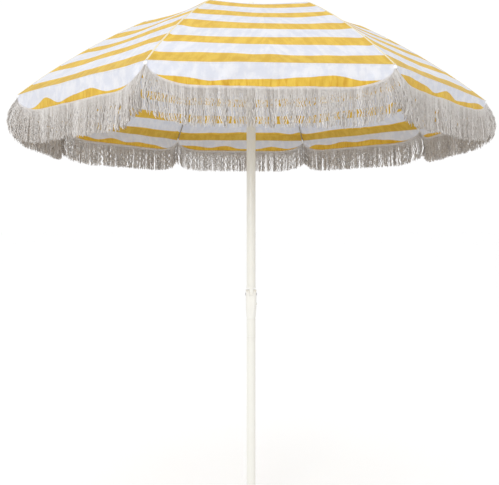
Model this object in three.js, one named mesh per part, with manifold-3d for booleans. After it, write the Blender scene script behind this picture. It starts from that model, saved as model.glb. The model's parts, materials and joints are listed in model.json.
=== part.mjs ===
// Beach umbrella with eight ribs, a striped canopy with a fringed valance, and a two-piece pole
// with a push-button tilt knuckle. Millimetres, +Z up, origin at the foot of the pole.
import * as THREE from 'three'
import { mergeVertices } from 'three/addons/utils/BufferGeometryUtils.js'
import Module from 'manifold-3d'

const wasm = await Module()
wasm.setup()

// ---------------------------------------------------------------- driving dimensions

const DEG = Math.PI / 180
const GAP = 0.3                     // clearance between two touching pieces

// Pole
const POLE_R = 19
const POLE_WALL = 1.5
const LOWER_TOP = 860               // mouth of the lower pole
const SPIGOT_R = 15
const SPIGOT_LENGTH = 130
const PLUG_FLANGE = 6
const PLUG_DEPTH = 40
const BUSH_FLANGE = 4
const BUSH_DEPTH = 40
const STUB_LENGTH = 72              // mid pole above the joint

// Tilt knuckle: the hinge runs along X
const TILT_Z = 1042
const BUTTON_Z = 1000
const KNUCKLE_BASE = 940
const KNUCKLE_R = 20                // cheek radius round the hinge
const KNUCKLE_HALF_WIDTH = 22       // outer faces of the cheeks
const TONGUE_HALF_WIDTH = 7.6
const TONGUE_R = 18
const COLLAR_Z = TILT_Z + 25        // underside of the tongue's collar
const COLLAR_HEIGHT = 9
const PIN_R = 3
const PIN_HEAD_R = 6.5
const PIN_HEAD = 2.4
const BUTTON_R = 5.2
const BUTTON_FACE = 25.4            // the button's face, from the pole's axis
const BUTTON_LENGTH = 12
const POCKET_END = -8               // blind end of the button's pocket

// Umbrella frame
const RIB_COUNT = 8
const FIRST_RIB = 22.5 * DEG        // azimuth of rib 1
const TIP_RADIUS = 920
const TIP_Z = 1800
const PIVOT_RADIUS = 32             // hinge circle at the crown and at the runner
const CROWN_SLOPE = 15 * DEG        // downward slope of an open rib's straight inner part
const BEND_SLOPE = 29 * DEG         // after the bend, where the strut pushes
const TIP_SLOPE = 41 * DEG          // at the rib's tip
const BEND_LENGTH = 50
const OUTER_R = 2600                // bow of the rib's outer part
const RIB_R = 2.3
const EAR_DROP = 9                  // from the rib's centre line to the strut's rivet
const TIP_CAP_R = 4.2
const TIP_CAP_LENGTH = 16

// Cloth
const CLOTH = 1.2
const CLOTH_LIFT = 5                // from the rib's centre line to the inside of the cloth
const CLOTH_START = 45              // the sectors start here, under the crown patch's edge
const SAG = 8                       // of a gore's middle below the straight line between its ribs
const VALANCE_DROP = 70
const FRINGE_LENGTH = 113
const CORNER_LENGTH = 130           // stretch over which the hem rises to a rib tip
const SKIRT_THICKNESS = 7

// Hubs
const HUB_R = 41
const HUB_TOP = 5                   // above the hinge circle
const HUB_BOTTOM = 8
const RIB_SLOT = 5.8                // width of the crown hub's slots
const STRUT_SLOT = 7.6              // width of the runner's slots
const SLOT_START = 27
const WIRE_R = 0.9
const EYE_HOLE_R = 1.5
const RUNNER_SLEEVE_R = 25.5
const RUNNER_LENGTH = 75            // below the runner's hinge circle
const CATCH_WIDTH = 5
const CATCH_HEIGHT = 30

// ---------------------------------------------------------------- worked-out places

// A rib has a straight inner part, a short bend and a bowed outer part.
const BEND_R = BEND_LENGTH / (BEND_SLOPE - CROWN_SLOPE)
const INNER_LENGTH = (TIP_RADIUS - PIVOT_RADIUS - BEND_R * (Math.sin(BEND_SLOPE) - Math.sin(CROWN_SLOPE)) -
  OUTER_R * (Math.sin(TIP_SLOPE) - Math.sin(BEND_SLOPE))) / Math.cos(CROWN_SLOPE)
const BEND_END = INNER_LENGTH + BEND_LENGTH
const RIB_LENGTH = BEND_END + OUTER_R * (TIP_SLOPE - BEND_SLOPE)
const PIVOT_Z = TIP_Z + INNER_LENGTH * Math.sin(CROWN_SLOPE) +
  BEND_R * (Math.cos(CROWN_SLOPE) - Math.cos(BEND_SLOPE)) +
  OUTER_R * (Math.cos(BEND_SLOPE) - Math.cos(TIP_SLOPE))
const HALF_GORE = Math.PI / RIB_COUNT

const within = (value, low, high) => Math.min(Math.max(value, low), high)

// Downward slope of an open rib, at a length from its hinge.
function slopeAt (length) {
  const bent = within(length - INNER_LENGTH, 0, BEND_LENGTH) / BEND_R
  return CROWN_SLOPE + bent + Math.max(0, length - BEND_END) / OUTER_R
}

// The point there, where a rib runs along +X, lifted square to the rib's centre line.
function ribPoint (length, lift = 0) {
  const slope = slopeAt(length)
  const inner = Math.min(length, INNER_LENGTH)
  const bend = within(slope, CROWN_SLOPE, BEND_SLOPE)
  const outer = Math.max(slope, BEND_SLOPE)
  return new THREE.Vector3(
    PIVOT_RADIUS + inner * Math.cos(CROWN_SLOPE) + BEND_R * (Math.sin(bend) - Math.sin(CROWN_SLOPE)) +
      OUTER_R * (Math.sin(outer) - Math.sin(BEND_SLOPE)) + lift * Math.sin(slope),
    0,
    PIVOT_Z - inner * Math.sin(CROWN_SLOPE) - BEND_R * (Math.cos(CROWN_SLOPE) - Math.cos(bend)) -
      OUTER_R * (Math.cos(BEND_SLOPE) - Math.cos(outer)) + lift * Math.cos(slope))
}

// Lengths along a rib, close together round the bend.
function stations (from, to) {
  const spread = (a, b, count) => Array.from({ length: count }, (_, i) => a + (b - a) * i / count)
  const bend = spread(INNER_LENGTH, BEND_END, 4)
  return [...spread(from, INNER_LENGTH, 3), ...bend, ...spread(BEND_END, to, 6), to]
}

const EAR_AT = INNER_LENGTH + BEND_LENGTH / 2
const STRUT_TOP = ribPoint(EAR_AT, -EAR_DROP)
// The strut is as long as the crown hinge is from its rivet, so its foot is on the hinge circle both
// open and folded.
const RUNNER_Z = 2 * STRUT_TOP.z - PIVOT_Z
const STRUT_FOOT = new THREE.Vector3(PIVOT_RADIUS, 0, RUNNER_Z)
const STRUT_LENGTH = STRUT_TOP.distanceTo(STRUT_FOOT)

// ---------------------------------------------------------------- solids

// Merges the corners of a geometry, drops collapsed faces and turns its faces outwards.
function solidOf (geometry) {
  const bare = geometry.index ? geometry.toNonIndexed() : geometry.clone()
  bare.deleteAttribute('normal')
  bare.deleteAttribute('uv')
  const merged = mergeVertices(bare, 1e-4)
  const places = merged.getAttribute('position').array
  const faces = []
  for (let i = 0; i < merged.index.count; i += 3) {
    const [a, b, c] = [0, 1, 2].map((k) => merged.index.getX(i + k))
    if (a !== b && b !== c && c !== a) faces.push([a, b, c])
  }
  const corner = (k) => new THREE.Vector3().fromArray(places, 3 * k)
  const volume = faces.reduce((sum, [a, b, c]) => sum + corner(a).dot(corner(b).cross(corner(c))), 0)
  const outward = volume > 0 ? faces : faces.map(([a, b, c]) => [a, c, b])
  return new wasm.Manifold(new wasm.Mesh({
    numProp: 3,
    vertProperties: new Float32Array(places),
    triVerts: new Uint32Array(outward.flat())
  }))
}

function geometryOf (solid) {
  const mesh = solid.getMesh()
  const geometry = new THREE.BufferGeometry()
  geometry.setAttribute('position', new THREE.BufferAttribute(new Float32Array(mesh.vertProperties), 3))
  geometry.setIndex(new THREE.BufferAttribute(new Uint32Array(mesh.triVerts), 1))
  geometry.computeVertexNormals()
  return geometry
}

const join = (first, ...rest) => rest.reduce((sum, next) => sum.add(next), first)
const cut = (first, ...rest) => rest.reduce((left, next) => left.subtract(next), first)

// A body of revolution about Z. The outline is a list of [radius, height], on the axis or closed.
function turned (outline, segments = 32) {
  const points = outline.map(([r, z]) => new THREE.Vector2(r, z))
  return solidOf(new THREE.LatheGeometry(points, segments).rotateX(Math.PI / 2))
}

const rod = (r, z0, z1, segments) => turned([[0, z0], [r, z0], [r, z1], [0, z1]], segments)

const tube = (outer, inner, z0, z1, segments) =>
  turned([[inner, z0], [outer, z0], [outer, z1], [inner, z1], [inner, z0]], segments)

// A cylinder along X or Y, from one end to the other, centred on the place.
function crossRod (r, length, place, axis = 'y', segments = 12) {
  const geometry = new THREE.CylinderGeometry(r, r, length, segments)
  if (axis === 'x') geometry.rotateZ(Math.PI / 2)
  return solidOf(geometry.translate(place.x, place.y, place.z))
}

// A box given by its lowest and highest corners.
function block (low, high) {
  const size = high.map((value, i) => value - low[i])
  const middle = high.map((value, i) => (value + low[i]) / 2)
  return solidOf(new THREE.BoxGeometry(...size).translate(...middle))
}

// A closed solid between two equal grids of points, the outer one and the inner one.
function shell (outer, inner) {
  const rows = outer.length
  const columns = outer[0].length
  const places = [...outer.flat(), ...inner.flat()].flatMap((point) => point.toArray())
  const at = (side, i, j) => side * rows * columns + i * columns + j
  const index = []
  const quad = (a, b, c, d) => index.push(a, b, c, a, c, d)
  for (let i = 0; i < rows - 1; i++) {
    for (let j = 0; j < columns - 1; j++) {
      quad(at(0, i, j), at(0, i + 1, j), at(0, i + 1, j + 1), at(0, i, j + 1))
      quad(at(1, i, j), at(1, i, j + 1), at(1, i + 1, j + 1), at(1, i + 1, j))
    }
  }
  for (let i = 0; i < rows - 1; i++) {
    quad(at(0, i, 0), at(1, i, 0), at(1, i + 1, 0), at(0, i + 1, 0))
    quad(at(0, i, columns - 1), at(0, i + 1, columns - 1), at(1, i + 1, columns - 1), at(1, i, columns - 1))
  }
  for (let j = 0; j < columns - 1; j++) {
    quad(at(0, 0, j), at(0, 0, j + 1), at(1, 0, j + 1), at(1, 0, j))
    quad(at(0, rows - 1, j), at(1, rows - 1, j), at(1, rows - 1, j + 1), at(0, rows - 1, j + 1))
  }
  const geometry = new THREE.BufferGeometry()
  geometry.setAttribute('position', new THREE.Float32BufferAttribute(places, 3))
  geometry.setIndex(index)
  return solidOf(geometry)
}

// ---------------------------------------------------------------- materials

const material = (color, roughness, metalness = 0) =>
  new THREE.MeshStandardMaterial({ color, roughness, metalness })
const polePaint = material(0xeeece2, 0.4, 0.1)
const ribLacquer = material(0xa79f8d, 0.5, 0.2)
const whitePlastic = material(0xf0efea, 0.45)
const steel = material(0xb8babd, 0.35, 0.9)
const yellowCloth = material(0xecc54f, 0.85)
const whiteCloth = material(0xf4f5f8, 0.85)
const cottonFringe = material(0xded9d0, 0.95)

const umbrella = new THREE.Group()

function add (name, solid, look, azimuth = 0) {
  const mesh = new THREE.Mesh(geometryOf(solid), look)
  mesh.name = name
  mesh.rotation.z = azimuth
  umbrella.add(mesh)
}

// ---------------------------------------------------------------- pole

const BORE_R = POLE_R - POLE_WALL

function lowerPole () {
  return tube(POLE_R, BORE_R, PLUG_FLANGE + GAP, LOWER_TOP, 40)
}

// A flat foot with a small chamfer, and a stem in the tube.
function groundPlug () {
  const chamfer = 1.5
  const stemR = BORE_R - GAP
  return turned([[0, 0], [POLE_R - chamfer, 0], [POLE_R, chamfer], [POLE_R, PLUG_FLANGE],
    [stemR, PLUG_FLANGE], [stemR, PLUG_FLANGE + PLUG_DEPTH], [0, PLUG_FLANGE + PLUG_DEPTH]])
}

function jointBush () {
  const flange = LOWER_TOP + GAP
  const stemR = BORE_R - GAP
  const boreR = SPIGOT_R + GAP
  return turned([[boreR, flange - BUSH_DEPTH], [stemR, flange - BUSH_DEPTH], [stemR, flange],
    [POLE_R, flange], [POLE_R, flange + BUSH_FLANGE], [boreR, flange + BUSH_FLANGE],
    [boreR, flange - BUSH_DEPTH]], 40)
}

const STUB_FOOT = LOWER_TOP + BUSH_FLANGE + 2 * GAP
const STUB_TOP = STUB_FOOT + STUB_LENGTH

function midPole () {
  const spigotBore = SPIGOT_R - POLE_WALL
  const shoulder = STUB_FOOT + POLE_WALL
  return turned([[spigotBore, STUB_FOOT - SPIGOT_LENGTH], [SPIGOT_R, STUB_FOOT - SPIGOT_LENGTH],
    [SPIGOT_R, STUB_FOOT], [POLE_R, STUB_FOOT], [POLE_R, STUB_TOP], [BORE_R, STUB_TOP],
    [BORE_R, shoulder], [spigotBore, shoulder], [spigotBore, STUB_FOOT - SPIGOT_LENGTH]], 40)
}

const UPPER_FOOT = COLLAR_Z + COLLAR_HEIGHT + GAP
const UPPER_TOP = PIVOT_Z - HUB_BOTTOM - 6
const CATCH_TOP = RUNNER_Z - RUNNER_LENGTH - 4

function upperPole () {
  const slotHalf = CATCH_WIDTH / 2 + GAP
  const catchSlot = block([0, -slotHalf, CATCH_TOP - CATCH_HEIGHT - 1],
    [POLE_R + 2, slotHalf, CATCH_TOP + 1])
  return cut(tube(POLE_R, BORE_R, UPPER_FOOT, UPPER_TOP, 40), catchSlot)
}

// A wedge on the +X side, pressed in flush with the pole. Its sloped lower face lets the runner rise.
function runnerCatch () {
  const inner = 11
  const outer = POLE_R - 0.2
  const outline = new THREE.Shape([
    new THREE.Vector2(inner, CATCH_TOP - CATCH_HEIGHT),
    new THREE.Vector2(inner + 2, CATCH_TOP - CATCH_HEIGHT),
    new THREE.Vector2(outer, CATCH_TOP - 8), new THREE.Vector2(outer, CATCH_TOP),
    new THREE.Vector2(inner, CATCH_TOP)])
  const wedge = new THREE.ExtrudeGeometry(outline, { depth: CATCH_WIDTH, bevelEnabled: false })
  return solidOf(wedge.translate(0, 0, -CATCH_WIDTH / 2).rotateX(Math.PI / 2))
}

// ---------------------------------------------------------------- tilt knuckle

// The knuckle's rounded body, as wide as its cheeks across X and as deep as the pole.
function knuckleBlank (z0, z1) {
  const swell = [[POLE_R, z0]]
  const steps = 7
  for (let i = 1; i <= steps; i++) {
    const t = i / steps
    const bulge = Math.sin(Math.min(1, t * 1.6) * Math.PI / 2)
    swell.push([POLE_R + (KNUCKLE_HALF_WIDTH + 1.5 - POLE_R) * bulge, z0 + (z1 - z0) * t])
  }
  return turned([[0, z0], ...swell, [0, z1]], 36)
}

function tiltFork () {
  const top = TILT_Z + KNUCKLE_R
  const hinge = new THREE.Vector3(0, 0, TILT_Z)
  const wide = 4 * POLE_R
  const sides = join(crossRod(KNUCKLE_R, wide, hinge, 'x', 32),
    block([-wide, -KNUCKLE_R, KNUCKLE_BASE], [wide, KNUCKLE_R, TILT_Z]))
  const faces = block([-KNUCKLE_HALF_WIDTH, -wide, KNUCKLE_BASE], [KNUCKLE_HALF_WIDTH, wide, top + 1])
  const body = knuckleBlank(KNUCKLE_BASE, top + 1).intersect(sides).intersect(faces)
  const stem = rod(BORE_R - GAP, KNUCKLE_BASE - 34, KNUCKLE_BASE + 5, 40)
  const slotHalf = TONGUE_HALF_WIDTH + 0.5
  const slot = join(block([-slotHalf, -wide, TILT_Z], [slotHalf, wide, top + 2]),
    crossRod(KNUCKLE_R + 0.6, 2 * slotHalf, hinge, 'x', 32))
  const pinHole = crossRod(PIN_R + GAP, wide, hinge, 'x')
  const pocketLength = wide - POCKET_END
  const pocket = crossRod(BUTTON_R + GAP, pocketLength,
    new THREE.Vector3(POCKET_END + pocketLength / 2, 0, BUTTON_Z), 'x', 32)
  return cut(join(body, stem), slot, pinHole, pocket)
}

function tiltTongue () {
  const hinge = new THREE.Vector3(0, 0, TILT_Z)
  const half = TONGUE_HALF_WIDTH
  const plate = join(crossRod(TONGUE_R, 2 * half, hinge, 'x', 32),
    block([-half, -15, TILT_Z], [half, 15, COLLAR_Z + 2]))
  const collar = turned([[0, COLLAR_Z], [POLE_R + 1, COLLAR_Z], [POLE_R + 1, COLLAR_Z + 4],
    [POLE_R, COLLAR_Z + COLLAR_HEIGHT], [BORE_R - GAP, COLLAR_Z + COLLAR_HEIGHT],
    [BORE_R - GAP, COLLAR_Z + COLLAR_HEIGHT + 34], [0, COLLAR_Z + COLLAR_HEIGHT + 34]], 40)
  return cut(join(plate, collar), crossRod(PIN_R + GAP, 4 * half, hinge, 'x'))
}

// A rivet with a flat head on each cheek.
function tiltPin () {
  const shank = KNUCKLE_HALF_WIDTH + GAP
  return turned([[0, -shank - PIN_HEAD], [PIN_HEAD_R - 1.5, -shank - PIN_HEAD], [PIN_HEAD_R, -shank - 0.8],
    [PIN_HEAD_R, -shank], [PIN_R, -shank], [PIN_R, shank], [PIN_HEAD_R, shank],
    [PIN_HEAD_R, shank + 0.8], [PIN_HEAD_R - 1.5, shank + PIN_HEAD], [0, shank + PIN_HEAD]], 24)
    .rotate([0, 90, 0]).translate([0, 0, TILT_Z])
}

function tiltButton () {
  const back = BUTTON_FACE - BUTTON_LENGTH
  return turned([[0, back], [BUTTON_R, back], [BUTTON_R, BUTTON_FACE - 1.2],
    [BUTTON_R - 1.2, BUTTON_FACE], [0, BUTTON_FACE]], 32)
    .rotate([0, 90, 0]).translate([0, 0, BUTTON_Z])
}

// A coil spring between the pocket's blind end and the button.
function tiltSpring () {
  const wire = 0.6
  const coilR = 3.9
  const turns = 5
  const start = POCKET_END + wire + GAP
  const end = BUTTON_FACE - BUTTON_LENGTH - wire - GAP
  class Coil extends THREE.Curve {
    getPoint (t, target = new THREE.Vector3()) {
      const angle = t * turns * 2 * Math.PI
      const along = start + (end - start) * t
      return target.set(along, coilR * Math.cos(angle), BUTTON_Z + coilR * Math.sin(angle))
    }
  }
  const section = new THREE.Shape().absarc(0, 0, wire, 0, 2 * Math.PI)
  return solidOf(new THREE.ExtrudeGeometry(section,
    { steps: turns * 10, curveSegments: 3, extrudePath: new Coil(), bevelEnabled: false }))
}

// ---------------------------------------------------------------- crown and runner

const azimuths = Array.from({ length: RIB_COUNT }, (_, i) => FIRST_RIB + i * 2 * Math.PI / RIB_COUNT)

// Radial slots, open below, above and outwards, one for each rib or strut.
function radialSlots (width, z0, z1) {
  const slot = block([SLOT_START, -width / 2, z0], [HUB_R + 5, width / 2, z1])
  return azimuths.map((azimuth) => slot.rotate([0, 0, azimuth / DEG]))
}

function crownHub () {
  const [top, bottom] = [PIVOT_Z + HUB_TOP, PIVOT_Z - HUB_BOTTOM]
  const sleeve = tube(SLOT_START - 2, POLE_R + GAP, bottom - 42, bottom + 1, 40)
  const disc = turned([[0, bottom], [HUB_R - 1, bottom], [HUB_R, bottom + 1], [HUB_R, top - 2],
    [HUB_R - 2, top], [0, top]], 40)
  const groove = tube(PIVOT_RADIUS + WIRE_R + GAP, PIVOT_RADIUS - WIRE_R - GAP,
    PIVOT_Z - WIRE_R - GAP, top + 1, 40)
  const screwHole = rod(4 + GAP, PIVOT_Z - 5, top + 1, 24)
  return cut(join(sleeve, disc), groove, screwHole, ...radialSlots(RIB_SLOT, bottom - 1, top + 1))
}

function crownWire () {
  return solidOf(new THREE.TorusGeometry(PIVOT_RADIUS, WIRE_R, 6, 32).translate(0, 0, PIVOT_Z))
}

function crownPatch () {
  const under = PIVOT_Z + HUB_TOP + GAP
  return tube(CLOTH_START - 1, 5, under, under + CLOTH, 40)
}

function finial () {
  const foot = PIVOT_Z + HUB_TOP + 2 * GAP + CLOTH
  const ballR = 12
  const ballZ = foot + 20
  const stem = [[0, PIVOT_Z - 3], [4, PIVOT_Z - 3], [4, foot]]
  const outline = [...stem, [18, foot], [18, foot + 2.5], [9, foot + 8]]
  const neck = Math.asin(7.5 / ballR)
  for (let i = 0; i <= 7; i++) {
    const angle = Math.PI - neck - (Math.PI - neck) * i / 7
    outline.push([ballR * Math.sin(angle), ballZ + ballR * Math.cos(angle)])
  }
  return turned(outline, 24)
}

function runnerStop () {
  const foot = RUNNER_Z + HUB_BOTTOM + 1
  return tube(POLE_R + 4.5, POLE_R + GAP, foot, foot + 9, 40)
}

function runner () {
  const [top, bottom] = [RUNNER_Z + HUB_BOTTOM, RUNNER_Z - HUB_TOP]
  const foot = RUNNER_Z - RUNNER_LENGTH
  const bore = POLE_R + GAP
  const body = turned([[bore, foot], [RUNNER_SLEEVE_R + 1.3, foot], [RUNNER_SLEEVE_R + 1.3, foot + 5],
    [RUNNER_SLEEVE_R, foot + 8], [RUNNER_SLEEVE_R, bottom], [HUB_R - 1, bottom], [HUB_R, bottom + 1],
    [HUB_R, top - 1], [HUB_R - 1, top], [bore, top], [bore, foot]], 40)
  return cut(body, ...radialSlots(STRUT_SLOT, bottom - 1, top + 1))
}

// ---------------------------------------------------------------- ribs and struts, along +X

// A six-sided bar along the rib's centre line.
function ribBar (lengths) {
  const half = (side) => lengths.map((length) => [0, 1, 2, 3].map((corner) => {
    const angle = Math.PI * corner / 3
    return ribPoint(length, side * RIB_R * Math.sin(angle)).setY(RIB_R * Math.cos(angle))
  }))
  return shell(half(1), half(-1))
}

function rib () {
  const wire = ribBar(stations(1.5, RIB_LENGTH - TIP_CAP_LENGTH))
  const pivot = ribPoint(0)
  const eye = crossRod(3.4, 2 * RIB_R, pivot)
  const earHalf = 4.2
  const ear = join(crossRod(earHalf, 3, STRUT_TOP), solidOf(
    new THREE.BoxGeometry(2 * earHalf, 3, EAR_DROP).translate(0, 0, EAR_DROP / 2)
      .rotateY(slopeAt(EAR_AT)).translate(STRUT_TOP.x, 0, STRUT_TOP.z)))
  const rivet = join(crossRod(1.5, 9, STRUT_TOP, 'y', 8),
    ...[-1, 1].map((side) => crossRod(2.8, 0.9, STRUT_TOP.clone().setY(side * 4.35), 'y', 8)))
  return cut(join(wire, eye, ear, rivet), crossRod(EYE_HOLE_R, 20, pivot, 'y', 8))
}

// A blind cap over the rib's end.
function ribTip () {
  const slope = slopeAt(RIB_LENGTH - TIP_CAP_LENGTH / 2)
  const place = ribPoint(RIB_LENGTH - TIP_CAP_LENGTH / 2)
  const [back, front] = [-TIP_CAP_LENGTH / 2 - 4, TIP_CAP_LENGTH / 2 - 1]
  const boreR = RIB_R + GAP
  return turned([[boreR, back], [TIP_CAP_R - 0.8, back], [TIP_CAP_R, back + 1], [TIP_CAP_R, front - 2],
    [TIP_CAP_R - 2, front], [0, front], [0, front - 6], [boreR, front - 6], [boreR, back]], 12)
    .rotate([0, 90 + slope / DEG, 0]).translate([place.x, place.y, place.z])
}

// A bar with a fork round the rib's ear at its top and an eye at its foot.
function strut () {
  const [halfWidth, halfHeight] = [STRUT_SLOT / 2 - GAP, 2.75]
  const length = STRUT_LENGTH
  const end = (x, r) => crossRod(r, 2 * halfWidth, new THREE.Vector3(x, 0, 0), 'y', 12)
  const bar = join(block([0, -halfWidth, -halfHeight], [length, halfWidth, halfHeight]),
    end(0, 3.2), end(length, 3.2))
  const earSlot = block([-5, -1.9, -5], [14, 1.9, 5])
  const holes = [crossRod(2, 20, new THREE.Vector3(0, 0, 0), 'y', 8),
    crossRod(EYE_HOLE_R, 20, new THREE.Vector3(length, 0, 0), 'y', 8)]
  const down = Math.atan2(STRUT_TOP.z - RUNNER_Z, STRUT_TOP.x - PIVOT_RADIUS)
  return cut(bar, earSlot, ...holes)
    .rotate([0, 180 - down / DEG, 0]).translate([STRUT_TOP.x, 0, STRUT_TOP.z])
}

// ---------------------------------------------------------------- cloth, round a rib along +X

const CLOTH_EDGE = 0.2              // half the gap between two neighbouring sectors

// From the rib (u = 0) to the middle of the gore (u = 1 or -1), on the straight line between two ribs.
function gorePoint (onRib, u, sag = 0) {
  const half = onRib.x * Math.sin(HALF_GORE)
  const along = Math.abs(u) * Math.max(0, half - CLOTH_EDGE)
  return new THREE.Vector3(
    onRib.x - along * Math.sin(HALF_GORE), Math.sign(u) * along * Math.cos(HALF_GORE),
    onRib.z - sag * (1 - (1 - Math.abs(u)) ** 2))
}

function canopySector () {
  const columns = 4
  const start = (CLOTH_START - PIVOT_RADIUS) / Math.cos(CROWN_SLOPE)
  const surface = (lift) => stations(start, RIB_LENGTH).map((length) => {
    const sag = SAG * Math.sin(Math.PI * (length - start) / (RIB_LENGTH - start))
    return Array.from({ length: columns + 1 }, (_, j) =>
      gorePoint(ribPoint(length, lift), 2 * j / columns - 1, sag))
  })
  return shell(surface(CLOTH_LIFT + CLOTH), surface(CLOTH_LIFT))
}

// The valance and its fringe hang from the hem as one plain wall with a corner at the rib tip.
function skirt () {
  const columns = 10
  const top = TIP_Z - 0.6
  const wall = (radius) => [0, 1].map((row) => Array.from({ length: columns + 1 }, (_, j) => {
    const u = 2 * j / columns - 1
    const point = gorePoint(new THREE.Vector3(radius, 0, top), u)
    const fromTip = Math.abs(u) * radius * Math.sin(HALF_GORE)
    const rise = Math.max(0, 1 - fromTip / CORNER_LENGTH)
    const drop = VALANCE_DROP * Math.sqrt(1 - rise ** 2) + FRINGE_LENGTH
    return point.setZ(top - row * drop)
  }))
  return shell(wall(TIP_RADIUS + SKIRT_THICKNESS), wall(TIP_RADIUS))
}

// ---------------------------------------------------------------- assembly

add('ground_plug', groundPlug(), whitePlastic)
add('lower_pole', lowerPole(), polePaint)
add('joint_bush', jointBush(), whitePlastic)
add('mid_pole', midPole(), polePaint)
add('tilt_fork', tiltFork(), whitePlastic)
add('tilt_tongue', tiltTongue(), whitePlastic)
add('tilt_pin', tiltPin(), steel)
add('tilt_button', tiltButton(), whitePlastic)
add('tilt_spring', tiltSpring(), steel)
add('upper_pole', upperPole(), polePaint)
add('runner_catch', runnerCatch(), steel)
add('runner_stop', runnerStop(), whitePlastic)
add('runner', runner(), whitePlastic)
add('crown_hub', crownHub(), whitePlastic)
add('crown_wire', crownWire(), steel)
add('crown_patch', crownPatch(), whiteCloth)
add('finial', finial(), whitePlastic)

const repeated = [['rib', rib(), ribLacquer], ['rib_tip', ribTip(), whitePlastic],
  ['strut', strut(), ribLacquer], ['canopy', canopySector(), yellowCloth], ['skirt', skirt(), cottonFringe]]
azimuths.forEach((azimuth, i) => {
  for (const [name, solid, look] of repeated) add(`${name}_${i + 1}`, solid, look, azimuth)
})

export default umbrella
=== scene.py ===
import json
import math

import bpy
import numpy as np
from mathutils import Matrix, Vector


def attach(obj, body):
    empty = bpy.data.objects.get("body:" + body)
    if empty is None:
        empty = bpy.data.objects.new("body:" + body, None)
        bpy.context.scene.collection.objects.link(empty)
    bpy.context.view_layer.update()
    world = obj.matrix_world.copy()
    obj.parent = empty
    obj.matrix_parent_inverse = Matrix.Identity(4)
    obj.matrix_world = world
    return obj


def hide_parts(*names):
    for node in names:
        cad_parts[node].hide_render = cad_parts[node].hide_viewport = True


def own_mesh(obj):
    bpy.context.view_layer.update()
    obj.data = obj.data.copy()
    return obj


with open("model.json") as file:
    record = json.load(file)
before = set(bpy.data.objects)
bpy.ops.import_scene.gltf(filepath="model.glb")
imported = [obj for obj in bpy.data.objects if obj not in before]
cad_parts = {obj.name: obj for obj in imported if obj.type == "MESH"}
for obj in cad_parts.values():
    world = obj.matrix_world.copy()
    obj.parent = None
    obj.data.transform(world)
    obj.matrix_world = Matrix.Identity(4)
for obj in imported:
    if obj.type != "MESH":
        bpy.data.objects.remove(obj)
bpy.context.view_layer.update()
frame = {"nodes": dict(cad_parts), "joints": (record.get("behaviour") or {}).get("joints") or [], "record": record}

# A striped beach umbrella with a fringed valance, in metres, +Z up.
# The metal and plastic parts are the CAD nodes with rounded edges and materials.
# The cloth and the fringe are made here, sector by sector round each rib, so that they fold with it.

# ---------------------------------------------------------------- sizes

JOINTS = {joint["name"]: joint for joint in frame["joints"]}
RIBS = 8
GORE_ANGLE = 2 * math.pi / RIBS
HALF_GORE = GORE_ANGLE / 2
PIVOT = Vector(JOINTS["rib_fold_1"]["pos_m"])       # rib 1's hinge at the crown
TIP = Vector(JOINTS["skirt_hang_1"]["pos_m"])       # rib 1's tip
FIRST_RIB = math.atan2(TIP.y, TIP.x)
PIVOT_R, PIVOT_Z = math.hypot(PIVOT.x, PIVOT.y), PIVOT.z
TIP_R, TIP_Z = math.hypot(TIP.x, TIP.y), TIP.z

# An open rib has a straight inner part, a short bend and a bowed outer part.
CROWN_SLOPE, BEND_SLOPE, TIP_SLOPE = (math.radians(angle) for angle in (15, 29, 41))
BEND_LENGTH = 0.050
OUTER_R = 2.600
BEND_R = BEND_LENGTH / (BEND_SLOPE - CROWN_SLOPE)
INNER_LENGTH = (TIP_R - PIVOT_R - BEND_R * (math.sin(BEND_SLOPE) - math.sin(CROWN_SLOPE))
                - OUTER_R * (math.sin(TIP_SLOPE) - math.sin(BEND_SLOPE))) / math.cos(CROWN_SLOPE)
RIB_LENGTH = INNER_LENGTH + BEND_LENGTH + OUTER_R * (TIP_SLOPE - BEND_SLOPE)

CLOTH_LIFT = 0.0056                                 # of the cloth above the ribs' centre line
CLOTH_START = 0.043                                 # radius of the hole at the crown
PATCH_R = 0.049                                     # of the cloth cap over the hub
STITCH = 0.0042                                     # from one stitch to the next
SAG = 0.008                                         # of a gore's middle below the line between its ribs
YELLOW, WHITE = 0.052, 0.067                        # widths of the stripes
VALANCE_DROP = 0.070                                # of the deepest gore
GORE_DROPS = (0.062, 0.060, 0.064, 0.060, 0.070, 0.070, 0.052, 0.060)   # the valance of each gore
VALANCE_WHITE = 0.047                               # white part of the deepest valance, under the fold
CORNER_LENGTH = 0.150                               # over which the hem rises to a rib tip
FRINGE_LENGTH = 0.113
HEM_ALLOWANCE = 0.045                               # cloth turned in under the canopy
HEADER = 0.009                                      # woven head of the fringe
FRINGE_TOP = 0.003                                  # from the hem to where the cords leave the head
CORNER_FLARE = 0.010                                # of the hem outwards at a rib's tip
TIP_BOW = 0.027                                     # of the cords outwards at a rib's tip
CORD_SPACING = 0.0037
LOCK_WIDTH = 0.0085                                 # of a lock of cords that curl together
HALF_HEM = (TIP_R + CLOTH_LIFT * math.sin(TIP_SLOPE)) * math.sin(HALF_GORE)

# How uneven things are: how far either way, how large the features are, and a seed.
BROAD_WAVES = (0.0042, 0.17, 1)
SEAM_PUCKERS = (0.0030, 0.040, 2)
HEM_GATHERS = (0.0034, 0.055, 3)
STRIPE_WAVER = (0.0150, 0.060, 5)
TAPE_WANDER = (0.0004, 0.06, 7)
VALANCE_BILLOWS = (0.0085, 0.11, 21)
VALANCE_FOLDS = (0.0048, 0.030, 22)
BORDER_WAVER = (0.0150, 0.088, 31)
FOLD_WAVER = (0.0042, 0.085, 34)
HEAD_NUBS = (0.0005, 0.0024, 41)

CANOPY_ROWS, CANOPY_COLUMNS = 110, 56
VALANCE_ROWS, VALANCE_COLUMNS, HEM_ROWS = 20, 90, 5
CORD_STEPS, CORD_SIDES = 23, 4                      # the face that closes a cord's end is one quad


# ---------------------------------------------------------------- shader helpers

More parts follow.
